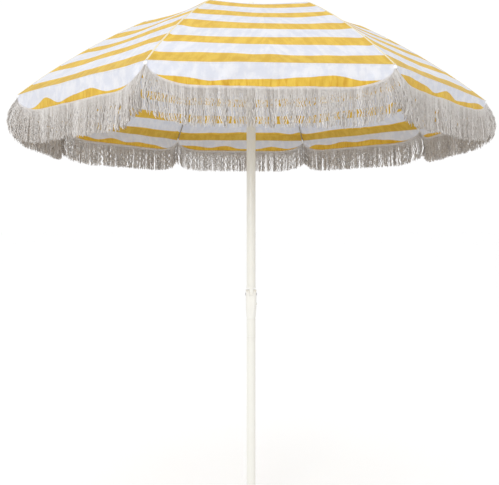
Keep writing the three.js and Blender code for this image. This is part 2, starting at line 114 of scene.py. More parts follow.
class Shader:
    """Adds nodes to one new material."""

    def __init__(self, name, **surface):
        self.material = bpy.data.materials.new(name)
        self.material.use_nodes = True
        self.tree = self.material.node_tree
        self.surface = self.tree.nodes["Principled BSDF"]
        self.output = self.tree.nodes["Material Output"]
        for socket, value in surface.items():
            self.surface.inputs[socket.replace("_", " ")].default_value = value

    def add(self, kind, settings=None, **inputs):
        node = self.tree.nodes.new("ShaderNode" + kind)
        for key, value in (settings or {}).items():
            setattr(node, key, value)
        for key, value in inputs.items():
            self.put(node, key, value)
        return node

    def put(self, node, key, value):
        sockets = node.inputs
        socket = sockets[int(key[1:])] if key[1:].isdigit() and key[0] == "i" else sockets[key]
        if isinstance(value, bpy.types.NodeSocket):
            self.tree.links.new(value, socket)
        else:
            socket.default_value = value

    def math(self, operation, *values):
        node = self.add("Math", {"operation": operation})
        for i, value in enumerate(values):
            self.put(node, f"i{i}", value)
        return node.outputs[0]

    def coordinates(self, uv=None):
        if uv:
            return self.add("UVMap", {"uv_map": uv}).outputs["UV"]
        return self.add("TexCoord").outputs["Object"]

    def stretched(self, vector, scale):
        return self.add("Mapping", Vector=vector, Scale=scale).outputs[0]

    def noise(self, vector, scale, detail=3.0, roughness=0.5):
        node = self.add("TexNoise", Vector=vector, Scale=scale, Detail=detail, Roughness=roughness)
        return node.outputs["Fac"]

    def between(self, value, low, high, to_low=0.0, to_high=1.0, eased=False):
        """Maps value from low..high to to_low..to_high, and holds it there outside."""
        node = self.add("MapRange", {"interpolation_type": "SMOOTHSTEP" if eased else "LINEAR"},
                        Value=value)
        for key, number in zip(("From Min", "From Max", "To Min", "To Max"),
                               (low, high, to_low, to_high)):
            self.put(node, key, number)
        return node.outputs[0]

    def mix(self, factor, a, b, blend="MIX"):
        node = self.add("Mix", {"data_type": "RGBA", "blend_type": blend})
        for key, value in ((0, factor), (6, a), (7, b)):
            self.put(node, f"i{key}", value)
        return node.outputs[2]

    def bump(self, height, distance, strength=1.0, normal=None):
        node = self.add("Bump", Height=height, Distance=distance, Strength=strength)
        if normal is not None:
            self.put(node, "Normal", normal)
        return node.outputs[0]

    def let_light_through(self, share, **glow):
        """Makes a share of the surface translucent."""
        translucent = self.add("BsdfTranslucent", **glow)
        blended = self.add("MixShader", i0=share, i1=self.surface.outputs[0], i2=translucent.outputs[0])
        self.tree.links.new(blended.outputs[0], self.output.inputs["Surface"])


def rgb(red, green, blue):
    return (red, green, blue, 1.0)


# ---------------------------------------------------------------- materials

# Each dye in its light and dark patches, and the painted shade of its soft creases.
YELLOW_DYE_AND_CREASE_SHADE = (rgb(0.77, 0.56, 0.100), rgb(0.72, 0.49, 0.055), rgb(0.86, 0.80, 0.62))
WHITE_DYE_AND_CREASE_SHADE = (rgb(0.79, 0.80, 0.845), rgb(0.74, 0.75, 0.80), rgb(0.86, 0.88, 0.93))


def dyed_and_crease_shaded(shader, patches, unshaded, light, dark, crease_shade):
    """Cloth in patches of dye, with painted shade of soft creases where unshaded falls to 0."""
    dye = shader.mix(patches, light, dark)
    return shader.mix(unshaded, shader.mix(1.0, dye, crease_shade, "MULTIPLY"), dye)


def stitches(shader, along, pitch, gap):
    """1 on each stitch of a row and 0 in the gaps, which are a share of the pitch."""
    return shader.math("GREATER_THAN", shader.math("FRACT", shader.math("DIVIDE", along, pitch)), gap)


def weave(shader, uv, pitch=0.0009):
    """Height of a plain weave, with slubs."""
    warp, weft = (shader.add("TexWave", {"bands_direction": axis, "wave_profile": "SIN"},
                             Vector=uv, Scale=1 / pitch / 3.18, Distortion=0.35).outputs["Fac"]
                  for axis in "XY")
    threads = shader.math("MAXIMUM", warp, weft)
    slubs = shader.noise(shader.stretched(uv, (60, 900, 1)), 1.0, 2)
    return shader.math("ADD", threads, shader.math("MULTIPLY", slubs, 0.8))


def cloth_material(name):
    """Striped canvas. The UV map holds metres: along the hem, and up from the fold."""
    shader = Shader(name, Roughness=0.86, Sheen_Weight=0.12, Sheen_Roughness=0.45)
    uv = shader.coordinates("cloth")
    place = shader.coordinates()
    split = shader.add("SeparateXYZ", Vector=uv)
    along, up = split.outputs["X"], split.outputs["Y"]
    ragged = shader.math("MULTIPLY", shader.math("SUBTRACT", shader.noise(uv, 900, 1), 0.5), 0.0009)
    period = YELLOW + WHITE
    phase = shader.math("FRACT", shader.math("DIVIDE", shader.math("ADD", up, ragged), period))
    is_white = shader.between(phase, YELLOW / period - 0.004, YELLOW / period + 0.004)
    is_white = shader.math("MULTIPLY", is_white, shader.between(phase, 0.994, 1.0, 1.0, 0.0))

    patches = shader.noise(place, 5.5, 4)
    threads = shader.noise(shader.stretched(uv, (40, 1100, 1)), 1.0, 2)
    # Painted shade: where unshaded falls to 0 the dye is darkened as if in soft creases.
    unshaded = shader.noise(shader.stretched(uv, (38, 16, 1)), 1.0, 4, 0.6)
    unshaded = shader.between(unshaded, 0.40, 0.62, eased=True)
    yellow = dyed_and_crease_shaded(shader, patches, unshaded, *YELLOW_DYE_AND_CREASE_SHADE)
    white = dyed_and_crease_shaded(shader, patches, unshaded, *WHITE_DYE_AND_CREASE_SHADE)
    colour = shader.mix(is_white, yellow, white)
    colour = shader.mix(shader.between(threads, 0.3, 0.75, 0.0, 0.10), colour, rgb(0.36, 0.31, 0.22),
                        "MULTIPLY")
    # Painted shade: the valance's colour darkens along diagonal folds.
    slanted = shader.add("Mapping", Vector=uv, Rotation=(0, 0, 0.9), Scale=(95, 16, 1)).outputs[0]
    folds = shader.between(shader.noise(slanted, 1.0, 3), 0.50, 0.64, eased=True)
    on_valance = shader.between(up, -WHITE + 0.004, -WHITE - 0.002)
    folds = shader.math("MULTIPLY", shader.math("MULTIPLY", folds, on_valance), 0.7)
    colour = shader.mix(folds, colour, rgb(0.80, 0.66, 0.38), "MULTIPLY")
    dashes = stitches(shader, along, STITCH, 0.3)
    for height in (0.004, -0.005):
        row = shader.math("COMPARE", up, height, 0.0005)
        colour = shader.mix(shader.math("MULTIPLY", shader.math("MULTIPLY", row, dashes), 0.55),
                            colour, rgb(0.42, 0.36, 0.26))
    shader.put(shader.surface, "Base Color", colour)
    shader.put(shader.surface, "Roughness", shader.between(threads, 0.2, 0.8, 0.80, 0.92))

    creases = shader.noise(place, 26, 3, 0.45)
    normal = shader.bump(creases, 0.0035, 0.35)
    normal = shader.bump(weave(shader, uv), 0.00022, 0.6, normal)
    shader.put(shader.surface, "Normal", normal)

    through = shader.mix(is_white, rgb(0.80, 0.40, 0.025), rgb(0.66, 0.67, 0.70))
    shader.let_light_through(0.16, Color=through, Normal=normal)
    return shader.material


def tape_material():
    """Seam tape with a row of stitches along each edge. The UV map holds metres across and along."""
    shader = Shader("seam_tape", Roughness=0.85, Sheen_Weight=0.1)
    uv = shader.coordinates("cloth")
    split = shader.add("SeparateXYZ", Vector=uv)
    across, along = split.outputs["X"], split.outputs["Y"]
    dashes = stitches(shader, along, 0.006, 0.35)
    rows = shader.math("COMPARE", shader.math("ABSOLUTE", across), 0.0022, 0.0007)
    wear = shader.noise(shader.stretched(uv, (300, 60, 1)), 1.0, 3)
    base = shader.mix(wear, rgb(0.84, 0.72, 0.42), rgb(0.80, 0.74, 0.58))
    colour = shader.mix(shader.math("MULTIPLY", shader.math("MULTIPLY", rows, dashes), 0.6), base,
                        rgb(0.30, 0.27, 0.23))
    shader.put(shader.surface, "Base Color", colour)
    height = shader.math("SUBTRACT", wear, shader.math("MULTIPLY", rows, 0.6))
    normal = shader.bump(height, 0.0006, 0.7)
    shader.put(shader.surface, "Normal", shader.bump(weave(shader, uv), 0.0002, 0.5, normal))
    return shader.material


def cotton_material(name, shade, lengthwise=True):
    """Soft twisted cords. The colour attribute holds each cord's tone, and on the fringe painted shade and
    highlights.
    """
    shader = Shader(name, Roughness=0.9, Sheen_Weight=0.25, Sheen_Roughness=0.5)
    uv = shader.coordinates("cloth")
    cord = shader.add("Attribute", {"attribute_name": "cord"}).outputs["Fac"]
    fibres = shader.noise(shader.stretched(uv, (500, 500, 1)), 1.0, 3)
    light, dark = shade
    colour = shader.mix(shader.between(cord, 0.0, 1.0), dark, light)
    colour = shader.mix(shader.between(fibres, 0.35, 0.7, 0.0, 0.12), colour, rgb(0.50, 0.47, 0.45),
                        "MULTIPLY")
    shader.put(shader.surface, "Base Color", colour)
    twist = shader.add("TexWave", {"bands_direction": "DIAGONAL"}, Vector=uv,
                       Scale=260.0 if lengthwise else 160.0, Distortion=1.2).outputs["Fac"]
    shader.put(shader.surface, "Normal", shader.bump(shader.math("ADD", twist, fibres), 0.0005, 0.8))
    shader.let_light_through(0.5, Color=colour)
    return shader.material


def paint_material():
    """Cream powder coat with a fine orange peel, thin scuffs and a little dust."""
    shader = Shader("pole_paint", Roughness=0.42, Coat_Weight=0.15)
    place = shader.coordinates()
    clouds = shader.noise(place, 14, 4)
    scuffs = shader.noise(shader.stretched(place, (260, 260, 14)), 1.0, 3, 0.6)
    colour = shader.mix(clouds, rgb(0.83, 0.825, 0.77), rgb(0.79, 0.78, 0.72))
    colour = shader.mix(shader.between(scuffs, 0.64, 0.76, 0.0, 0.22), colour, rgb(0.55, 0.52, 0.45))
    shader.put(shader.surface, "Base Color", colour)
    shader.put(shader.surface, "Roughness", shader.between(clouds, 0.3, 0.7, 0.34, 0.5))
    peel = shader.noise(place, 900, 2)
    shader.put(shader.surface, "Normal", shader.bump(peel, 0.00012, 0.35))
    return shader.material


def plastic_material(name, light, dark):
    shader = Shader(name, Roughness=0.5)
    place = shader.coordinates()
    clouds = shader.noise(place, 30, 3)
    shader.put(shader.surface, "Base Color", shader.mix(clouds, light, dark))
    shader.put(shader.surface, "Roughness", shader.between(clouds, 0.3, 0.7, 0.44, 0.58))
    grain = shader.noise(place, 1600, 2)
    shader.put(shader.surface, "Normal", shader.bump(grain, 0.0001, 0.5))
    return shader.material


def steel_material():
    shader = Shader("steel", Metallic=1.0, Roughness=0.34, Anisotropic=0.3)
    place = shader.coordinates()
    brushed = shader.noise(shader.stretched(place, (900, 900, 60)), 1.0, 3)
    shader.put(shader.surface, "Base Color",
               shader.mix(brushed, rgb(0.60, 0.60, 0.61), rgb(0.46, 0.46, 0.48)))
    shader.put(shader.surface, "Roughness", shader.between(brushed, 0.2, 0.8, 0.26, 0.46))
    shader.put(shader.surface, "Normal", shader.bump(brushed, 0.0001, 0.4))
    return shader.material


# ---------------------------------------------------------------- mesh helpers

def value_noise(points, scale, seed=0):
    """Smooth noise from -1 to 1 at an array of points, with features about as large as scale."""
    points = np.asarray(points, float) / scale
    cell = np.floor(points).astype(np.int64)
    part = points - cell
    part = part * part * (3 - 2 * part)
    primes = (73856093, 19349663, 83492791)
    total = np.zeros(points.shape[:-1])
    for corner in np.ndindex(*(2,) * points.shape[-1]):
        key = np.full(total.shape, seed * 2654435 + 97, np.int64)
        weight = np.ones(total.shape)
        for axis, step in enumerate(corner):
            key ^= (cell[..., axis] + step) * primes[axis]
            weight *= part[..., axis] if step else 1 - part[..., axis]
        key &= 0xFFFFFFF
        key = ((key ^ (key >> 13)) * 12742661) & 0xFFFFFFF
        key = ((key ^ (key >> 11)) * 7919) & 0xFFFFFFF
        total += weight * (((key >> 8) & 0xFFFF) / 32767.5 - 1)
    return total


def relief(points, height, size, seed):
    """Noise from -height to height, with features about as large as size."""
    return height * value_noise(points, size, seed)


def stacked(*values):
    """Numbers and arrays, broadcast together, as the coordinates of points."""
    return np.stack(np.broadcast_arrays(*values), -1)


def smooth(value, low, high):
    """0 below low, 1 above high, and eased between them."""
    t = np.clip((value - low) / (high - low), 0, 1)
    return t * t * (3 - 2 * t)


def turned_to_rib(points, rib):
    """Points made round a rib along +X, turned to that rib's azimuth."""
    angle = FIRST_RIB + (rib - 1) * GORE_ANGLE
    c, s = math.cos(angle), math.sin(angle)
    return points @ np.array([[c, s, 0], [-s, c, 0], [0, 0, 1]])


def piece(name, vertices, faces, material, uv=None, shade=None, normals=None):
    """A smooth mesh object. uv is per face corner, shade and normals are per vertex."""
    mesh = bpy.data.meshes.new(name)
    mesh.from_pydata(np.asarray(vertices).reshape(-1, 3).tolist(), [], np.asarray(faces).tolist())
    mesh.polygons.foreach_set("use_smooth", [True] * len(mesh.polygons))
    if uv is not None:
        layer = mesh.uv_layers.new(name="cloth")
        layer.uv.foreach_set("vector", np.asarray(uv, np.float32).ravel())
    if shade is not None:
        attribute = mesh.attributes.new("cord", "FLOAT", "POINT")
        attribute.data.foreach_set("value", np.asarray(shade, np.float32).ravel())
    if normals is not None:
        mesh.normals_split_custom_set_from_vertices(np.asarray(normals).reshape(-1, 3).tolist())
    mesh.materials.append(material)
    obj = bpy.data.objects.new(name, mesh)
    bpy.context.scene.collection.objects.link(obj)
    return obj


def grid_faces(rows, columns, flip=False):
    """Quads over a grid of points in rows and columns."""
    index = np.arange(rows * columns).reshape(rows, columns)
    corners = [index[:-1, :-1], index[1:, :-1], index[1:, 1:], index[:-1, 1:]]
    return np.stack(corners[::-1] if flip else corners, -1).reshape(-1, 4)


# ---------------------------------------------------------------- canopy

CLOTH_FROM = (CLOTH_START - PIVOT_R) / math.cos(CROWN_SLOPE)


def rib_line(down, lift=CLOTH_LIFT):
    """(radius, height) over a rib: down is 0 where the cloth starts and 1 at the rib's tip."""
    length = CLOTH_FROM + (RIB_LENGTH - CLOTH_FROM) * np.asarray(down, float)
    past = length - INNER_LENGTH
    inner = np.minimum(length, INNER_LENGTH)
    bend = CROWN_SLOPE + np.clip(past, 0, BEND_LENGTH) / BEND_R
    outer = BEND_SLOPE + np.maximum(past - BEND_LENGTH, 0) / OUTER_R
    slope = np.where(past > BEND_LENGTH, outer, bend)
    radius = (PIVOT_R + inner * math.cos(CROWN_SLOPE) + BEND_R * (np.sin(bend) - math.sin(CROWN_SLOPE))
              + OUTER_R * (np.sin(outer) - math.sin(BEND_SLOPE)))
    height = (PIVOT_Z - inner * math.sin(CROWN_SLOPE) - BEND_R * (math.cos(CROWN_SLOPE) - np.cos(bend))
              - OUTER_R * (math.cos(BEND_SLOPE) - np.cos(outer)))
    return radius + lift * np.sin(slope), height + lift * np.cos(slope)


def canopy_point(rib, down, across):
    """The cloth near a rib: down is 0 at the crown and 1 at the hem, across is -1 to 1 between the
    middles of the two gores. The gores are straight chords from rib to rib that sag a little, and
    wrinkle towards the ribs and the hem."""
    down, across = np.broadcast_arrays(np.asarray(down, float), np.asarray(across, float))
    radius, height = rib_line(down)
    reach = np.abs(across)
    away = radius * math.sin(HALF_GORE) * reach
    sag = SAG * np.sin(np.pi * down) * (1 - (1 - reach) ** 2)
    points = stacked(radius - away * math.sin(HALF_GORE),
                     np.sign(across) * away * math.cos(HALF_GORE), height - sag)
    points = turned_to_rib(points, rib)

    from_hem = (1 - down) * (RIB_LENGTH - CLOTH_FROM)
    inside = smooth(from_hem, 0.0, 0.03) * smooth(down, 0.0, 0.06)
    off_rib = smooth(away, 0.002, 0.05)
    broad = relief(points, *BROAD_WAVES) * smooth(away, 0.0, 0.12)
    seam = stacked(from_hem, away * 0.35, rib * 3.1 + (across > 0))
    puckers = relief(seam, *SEAM_PUCKERS) * np.exp(-away / 0.06) * smooth(away, 0.0, 0.012)
    hemming = points * np.array([1, 1, 0.3])
    gathers = relief(hemming, *HEM_GATHERS) * np.exp(-from_hem / 0.09) * off_rib
    points[..., 2] += inside * (broad + puckers + gathers)
    return points


def stripe_height(down):
    """Metres up the middle of a gore from the hem, for each value of down."""
    steps = np.linspace(0, 1, 400)
    middle = canopy_middle(steps)
    lengths = np.concatenate([[0], np.cumsum(np.linalg.norm(np.diff(middle, axis=0), axis=1))])
    return lengths[-1] - np.interp(down, steps, lengths)


def canopy_middle(down):
    """The line down the middle of a gore along +X, without its wrinkles."""
    radius, height = rib_line(down)
    return stacked(radius * math.cos(HALF_GORE), 0.0, height - SAG * np.sin(np.pi * down))


def gore_of(rib, side):
    """Gore n lies between ribs n and n + 1."""
    return rib if side > 0 else (rib - 2) % RIBS + 1


def gore_shift(gore):
    """Each gore's stripes miss its neighbour's by a few millimetres."""
    return 0.0032 * math.sin(gore * 2.3 + 0.6)


def make_canopy(material):
    """Eight sectors, each round one rib, with the normals of one cloth across their joins."""
    spread = np.linspace(-1, 1, CANOPY_COLUMNS + 1)
    across = np.sign(spread) * np.abs(spread) ** 1.35
    down = np.linspace(0, 1, CANOPY_ROWS + 1)[:, None]
    sectors = [canopy_point(rib, down, across[None, :]) for rib in range(1, RIBS + 1)]

    ring = np.concatenate([sector[:, :-1] for sector in sectors], 1)
    along = np.roll(ring, -1, 1) - np.roll(ring, 1, 1)
    normals = np.cross(np.gradient(ring, axis=0), along)
    normals /= np.linalg.norm(normals, axis=-1, keepdims=True)
    normals = np.concatenate([normals, normals[:, :1]], 1)

    up = stripe_height(down)
    radius = rib_line(down)[0]
    from_rib = np.abs(across)[None, :] * radius * math.sin(HALF_GORE)
    bend = 0.0045 * np.exp(-from_rib / 0.03) * smooth(up, 0.0, 0.05)
    faces = grid_faces(CANOPY_ROWS + 1, CANOPY_COLUMNS + 1)
    right = np.tile(np.arange(CANOPY_COLUMNS) >= CANOPY_COLUMNS // 2, CANOPY_ROWS)

    made = []
    for rib, points in enumerate(sectors, 1):
        maps = []
        for side in (-1, 1):
            gore = gore_of(rib, side)
            ripple = stacked(from_rib * 0.8, up, gore + side)
            wavy = relief(ripple, *STRIPE_WAVER) * np.exp(-from_rib / 0.09) * smooth(from_rib, 0, 0.02)
            place = -side * (radius * math.sin(HALF_GORE) - from_rib)
            hem = fold_wave(gore, place) * (1 - smooth(up, 0.0, 0.09))
            height = up - bend + (wavy + gore_shift(gore)) * smooth(up, 0.0, 0.04) + hem
            maps.append(stacked(gore + np.sign(across) * from_rib, height).reshape(-1, 2))
        uv = np.where(right[:, None, None], maps[1][faces], maps[0][faces])
        first = (rib - 1) * CANOPY_COLUMNS
        columns = np.arange(first, first + CANOPY_COLUMNS + 1)
        obj = piece(f"cloth_{rib}", points, faces, material, uv=uv, normals=normals[:, columns])
        made.append(obj)
    return made


# ---------------------------------------------------------------- seam tapes and crown patch

def make_tape(rib, material):
    """A folded tape over the seam along a rib."""
    down = np.linspace(0.012, 0.999, 150)
    offsets = np.array([-0.0037, -0.003, -0.0012, 0.0, 0.0012, 0.003, 0.0037])
    lifts = np.array([0.0001, 0.0007, 0.0010, 0.0011, 0.0010, 0.0007, 0.0001])
    radius = rib_line(down)[0]
    wander = relief(stacked(radius, rib * 5.0), *TAPE_WANDER)
    across = (offsets[None, :] + wander[:, None]) / (radius[:, None] * math.sin(HALF_GORE))
    points = canopy_point(rib, down[:, None], across)
    points[..., 2] += lifts
    uv = stacked(offsets[None, :], radius[:, None]).reshape(-1, 2)
    faces = grid_faces(len(down), len(offsets))
    return piece(f"seam_tape_{rib}", points, faces, material, uv=uv[faces])


def make_crown_patch(material):
    """A round cap of cloth over the hub, which lies down onto the canopy outside it."""
    rings, around = 26, 128
    hole_radius = 0.0046
    flat = PIVOT_Z + 0.0062             # on top of the hub
    above_canopy = 0.0016
    radii = np.linspace(hole_radius, PATCH_R, rings)
    angles = np.linspace(0, 2 * np.pi, around + 1)
    rows = []
    for radius in radii:
        row = []
        for angle in angles:
            turn = (angle - FIRST_RIB) / GORE_ANGLE
            across = 2 * (turn - round(turn))
            level = flat
            if radius > CLOTH_START - 0.001:
                rib = int(round(turn)) % RIBS + 1
                rib_radius = max(radius, CLOTH_START) / (1 - abs(across) * math.sin(HALF_GORE) ** 2)
                down = (rib_radius - CLOTH_START) / math.cos(CROWN_SLOPE) / (RIB_LENGTH - CLOTH_FROM)
                level = canopy_point(rib, down, across)[2] + above_canopy
            row.append((radius * math.cos(angle), radius * math.sin(angle), level))
        rows.append(row)
    points = np.array(rows)
    for _ in range(2):
        points[1:-1, :, 2] = (points[:-2, :, 2] + 2 * points[1:-1, :, 2] + points[2:, :, 2]) / 4
    ripple = stacked(np.cos(angles), np.sin(angles))
    points[..., 2] += (radii[:, None] / PATCH_R) ** 3 * 0.0007 * (1 + value_noise(ripple, 0.22, 11))
    height = 0.012 + 0.02 * radii / PATCH_R
    uv = stacked(angles[None, :] * 0.05, height[:, None]).reshape(-1, 2)
    faces = grid_faces(rings, around + 1)
    return piece("crown_cloth", points, faces, material, uv=uv[faces])


# ---------------------------------------------------------------- valance and fringe

OUTWARD = {side: np.array([math.cos(HALF_GORE), side * math.sin(HALF_GORE), 0]) for side in (-1, 1)}
ALONG = {side: np.array([-math.sin(HALF_GORE), side * math.cos(HALF_GORE), 0]) for side in (-1, 1)}


def drop_at(gore, from_tip):
    """How deep a gore's valance hangs. Its lower edge rises in a quarter ellipse to the rib's tip."""
    rise = np.clip(1 - from_tip / CORNER_LENGTH, 0, 1)
    return GORE_DROPS[gore - 1] * np.sqrt(1 - rise ** 2)


def fold_wave(gore, place):
    """How far the edge of the stripe at the fold wavers. place is measured along the hem."""
    return relief(stacked(place, gore * 4.1), *FOLD_WAVER)


def valance_wave(rib, side, from_tip, depth):
    """How far the cloth stands out from its flat wall. The two halves of a gore meet smoothly."""
    gore = gore_of(rib, side)
    place = -side * (HALF_HEM - from_tip)
    broad = relief(stacked(place, depth * 0.7, gore * 3.7), *VALANCE_BILLOWS)
    folds = relief(stacked(place + depth * 0.9, depth * 0.25, gore * 1.9), *VALANCE_FOLDS)
    corner = smooth(from_tip, 0.0, 0.05)
    return corner * (broad + folds) * smooth(depth, 0.0, 0.055) + 0.0005


def corner_flare(from_tip, depth):
    """How far a corner stands out along its rib, where the stiff fringe head turns the rib's end."""
    return CORNER_FLARE * np.exp(-(from_tip / 0.09) ** 2) * smooth(depth, 0.0, 0.05)


def hem_edge(rib, side, from_tip):
    """The valance's lower edge, round a rib along +X."""
    depth = drop_at(gore_of(rib, side), from_tip)
    return valance_point(rib, side, from_tip, depth)


def valance_point(rib, side, from_tip, depth):
    """A place on the valance, round a rib along +X, at a depth below the fold."""
    radius, height = rib_line(1.0)
    start = np.array([radius, 0, height])
    out = valance_wave(rib, side, from_tip, depth)
    flare = corner_flare(from_tip, depth)
    return (start + from_tip[..., None] * ALONG[side] + out[..., None] * OUTWARD[side]
            + flare[..., None] * np.array([1.0, 0, 0]) - depth[..., None] * np.array([0, 0, 1.0]))


def make_valance(rib, side, material):
    """One half of a gore's valance, from a rib tip to the gore's middle, with its turned-in hem."""
    from_tip = HALF_HEM * np.linspace(0.0005, 1, VALANCE_COLUMNS + 1) ** 1.25
    share = np.linspace(0, 1, VALANCE_ROWS + 1)[:, None]
    along = np.broadcast_to(from_tip, (VALANCE_ROWS + 1, VALANCE_COLUMNS + 1))
    gore = gore_of(rib, side)
    depth = share * drop_at(gore, from_tip)[None, :]
    wall = turned_to_rib(valance_point(rib, side, along, depth), rib)

    place = -side * (HALF_HEM - along)
    drop = GORE_DROPS[gore - 1]
    border = VALANCE_WHITE - VALANCE_DROP + drop
    border = border + relief(stacked(place, gore * 5.3), *BORDER_WAVER)
    border = np.minimum(border, drop - 0.003)
    white = np.minimum(depth / border, 1)
    rest = np.maximum(depth - border, 0)
    height = fold_wave(gore, place) * (1 - white) - (white * WHITE + rest)
    uv = stacked(gore + place, height)

    inwards = HEM_ALLOWANCE * np.linspace(1, 1 / HEM_ROWS, HEM_ROWS)[:, None]
    down = 1 - inwards / (RIB_LENGTH - CLOTH_FROM)
    hem = canopy_point(rib, down, side * from_tip[None, :] / HALF_HEM)
    hem[..., 2] -= 0.0015
    hem_uv = stacked(gore + place[:1], inwards)
    points = np.concatenate([hem, wall])
    uv = np.concatenate([hem_uv, uv]).reshape(-1, 2)
    faces = grid_faces(HEM_ROWS + VALANCE_ROWS + 1, VALANCE_COLUMNS + 1, flip=side < 0)
    name = f"valance_{rib}_{'a' if side < 0 else 'b'}"
    return piece(name, points, faces, material, uv=uv[faces])


def hem_samples(spacing):
    """Distances from the tip, evenly spaced along the curved hem of gore 1. All the gores use them."""
    fine = np.linspace(0.0008, HALF_HEM, 3000)
    curve = stacked(fine, drop_at(1, fine))
    lengths = np.concatenate([[0], np.cumsum(np.linalg.norm(np.diff(curve, axis=0), axis=1))])
    count = int(lengths[-1] / spacing)
    return np.interp((np.arange(count) + 0.5) / count * lengths[-1], lengths, fine)


def make_header(rib, side, material):
    """The fringe's woven head, a band sewn over the hem."""
    from_tip = HALF_HEM * np.linspace(0.0005, 1, 130) ** 1.2
    edge = hem_edge(rib, side, from_tip)
    outline = [(0.003, 0.0009), (0.001, 0.0019), (-0.006, 0.0021), (-HEADER + 0.001, 0.0019),
               (-HEADER, 0.0), (-HEADER + 0.001, -0.0017), (-0.006, -0.0019), (0.001, -0.0017),
               (0.003, -0.0007)]            # (height above the hem, distance outwards)
    nubs = relief(stacked(from_tip, rib), *HEAD_NUBS)
    rows = []
    for up, out in outline:
        thickness = out + np.sign(out) * nubs
        rows.append(edge + up * np.array([0, 0, 1.0]) + thickness[:, None] * OUTWARD[side])
    rows.append(rows[0])
    points = turned_to_rib(np.array(rows), rib)
    around = np.linspace(0, 0.03, len(rows))
    uv = stacked(from_tip[None, :], around[:, None]).reshape(-1, 2)
    faces = grid_faces(len(rows), len(from_tip), flip=side < 0)
    shade = 0.55 + 0.35 * value_noise(stacked(from_tip, rib * side), 0.003, 42)
    shade = np.broadcast_to(shade, (len(rows), len(from_tip)))
    name = f"fringe_head_{rib}_{'a' if side < 0 else 'b'}"
    return piece(name, points, faces, material, uv=uv[faces], shade=shade)


def cord_tubes(centre_line, radius, side):
    """Vertices and faces of cords with closed lower ends. centre_line is (cord, step, xyz)."""
    count, steps = radius.shape
    angle = np.arange(CORD_SIDES) * 2 * np.pi / CORD_SIDES + math.pi / 4
    section = np.cos(angle)[:, None] * ALONG[side] + np.sin(angle)[:, None] * OUTWARD[side]
    vertices = centre_line[:, :, None, :] + radius[:, :, None, None] * section

    ring = np.arange(CORD_SIDES)
    first = (np.arange(count)[:, None, None] * steps + np.arange(steps - 1)[None, :, None]) * CORD_SIDES
    here, after = first + ring, first + (ring + 1) % CORD_SIDES
    quads = np.stack([here, here + CORD_SIDES, after + CORD_SIDES, after], -1).reshape(-1, 4)
    ends = ((np.arange(count) * steps + steps - 1) * CORD_SIDES)[:, None] + ring
    faces = np.concatenate([quads, ends])
    if side < 0:
        faces = faces[:, ::-1]
    return vertices, faces


def make_fringe(rib, side, material):
    """Loose crinkled cords under the head. Neighbouring cords curl together in locks."""
    rng = np.random.default_rng(1000 + 10 * rib + side)
    layers = [hem_samples(CORD_SPACING), hem_samples(CORD_SPACING) + CORD_SPACING / 2]
    from_tip = np.clip(np.concatenate(layers), 0.001, HALF_HEM - 0.0003)
    layer = np.concatenate([np.full(len(row), i) for i, row in enumerate(layers)])
    count = len(from_tip)
    t = np.linspace(0, 1, CORD_STEPS)[None, :]          # 0 at a cord's top and 1 at its end

    top = hem_edge(rib, side, from_tip)
    length = FRINGE_LENGTH - FRINGE_TOP + rng.uniform(-0.006, 0.003, count)
    length -= 0.012 * (rng.random(count) > 0.93)        # a few cords are shorter
    depth = length[:, None] * t

    locks = 160                                         # more than the hem has
    lock = from_tip / LOCK_WIDTH + layer * 0.4 + rng.normal(0, 0.25, count)
    lock = np.minimum(lock.astype(int) + 2, locks - 1)
    lock_phase, lock_turn = rng.uniform(0, 2 * np.pi, (2, locks))
    lock_length = rng.uniform(0.022, 0.042, locks)
    lock_size = rng.uniform(0.0008, 0.0026, locks)
    lock_lean = rng.normal(0, 0.0055, locks)
    lock_shade = rng.uniform(-0.30, 0.22, locks)

    # Each cord curls with its lock, has a fine crimp of its own, and leans a little.
    curl = 2 * np.pi * depth / lock_length[lock][:, None]
    crimp = 2 * np.pi * depth / rng.uniform(0.009, 0.016, count)[:, None]
    crimp = crimp + rng.uniform(0, 6.3, count)[:, None]
    fine = rng.uniform(0.0003, 0.0011, count)[:, None]
    grown = smooth(t, 0.02, 0.35)
    size = lock_size[lock][:, None] * grown
    lean = lock_lean[lock] + rng.normal(0, 0.0030, count)
    sideways = (lean[:, None] * t ** 1.4 + size * np.sin(curl + lock_phase[lock][:, None])
                + fine * grown * np.sin(crimp))
    layer_lift = np.where(layer > 0, 0.0034, 0.0006)[:, None]
    outwards = (layer_lift + rng.normal(0.003, 0.0040, count)[:, None] * t ** 1.3
                + size * np.cos(curl + lock_turn[lock][:, None]) + fine * grown * np.cos(crimp))
    bow = TIP_BOW * np.exp(-(from_tip / 0.060) ** 2)[:, None] * np.sin(np.pi * np.minimum(t * 0.85, 1))
    centre_line = (top[:, None, :] + sideways[..., None] * ALONG[side]
                   + outwards[..., None] * OUTWARD[side] + bow[..., None] * np.array([1.0, 0, 0]))
    centre_line[..., 2] -= FRINGE_TOP + depth

    lumps = 1 + 0.24 * np.sin(2 * np.pi * depth / 0.011 + lock_phase[lock][:, None] * 2)
    radius = rng.uniform(0.0012, 0.0019, count)[:, None] * lumps * (1 - 0.45 * smooth(t, 0.93, 1.0))
    vertices, faces = cord_tubes(centre_line, radius, side)
    vertices = turned_to_rib(vertices.reshape(-1, 3), rib)

    # The back layer gets painted shade; the crimp gets painted shade in its hollows and painted highlights on its
    # crests.
    uv = stacked(from_tip[:, None, None] + np.arange(CORD_SIDES) * 0.001, depth[..., None]).reshape(-1, 2)
    shade = (0.72 + lock_shade[lock] + rng.normal(0, 0.15, count))[:, None] - 0.30 * (layer == 0)[:, None]
    shade = np.clip(shade + 0.14 * np.sin(crimp), 0, 1)
    shade = np.broadcast_to(shade[..., None], (*depth.shape, CORD_SIDES))
    name = f"fringe_{rib}_{'a' if side < 0 else 'b'}"
    return piece(name, vertices, faces, material, uv=uv[faces], shade=shade)


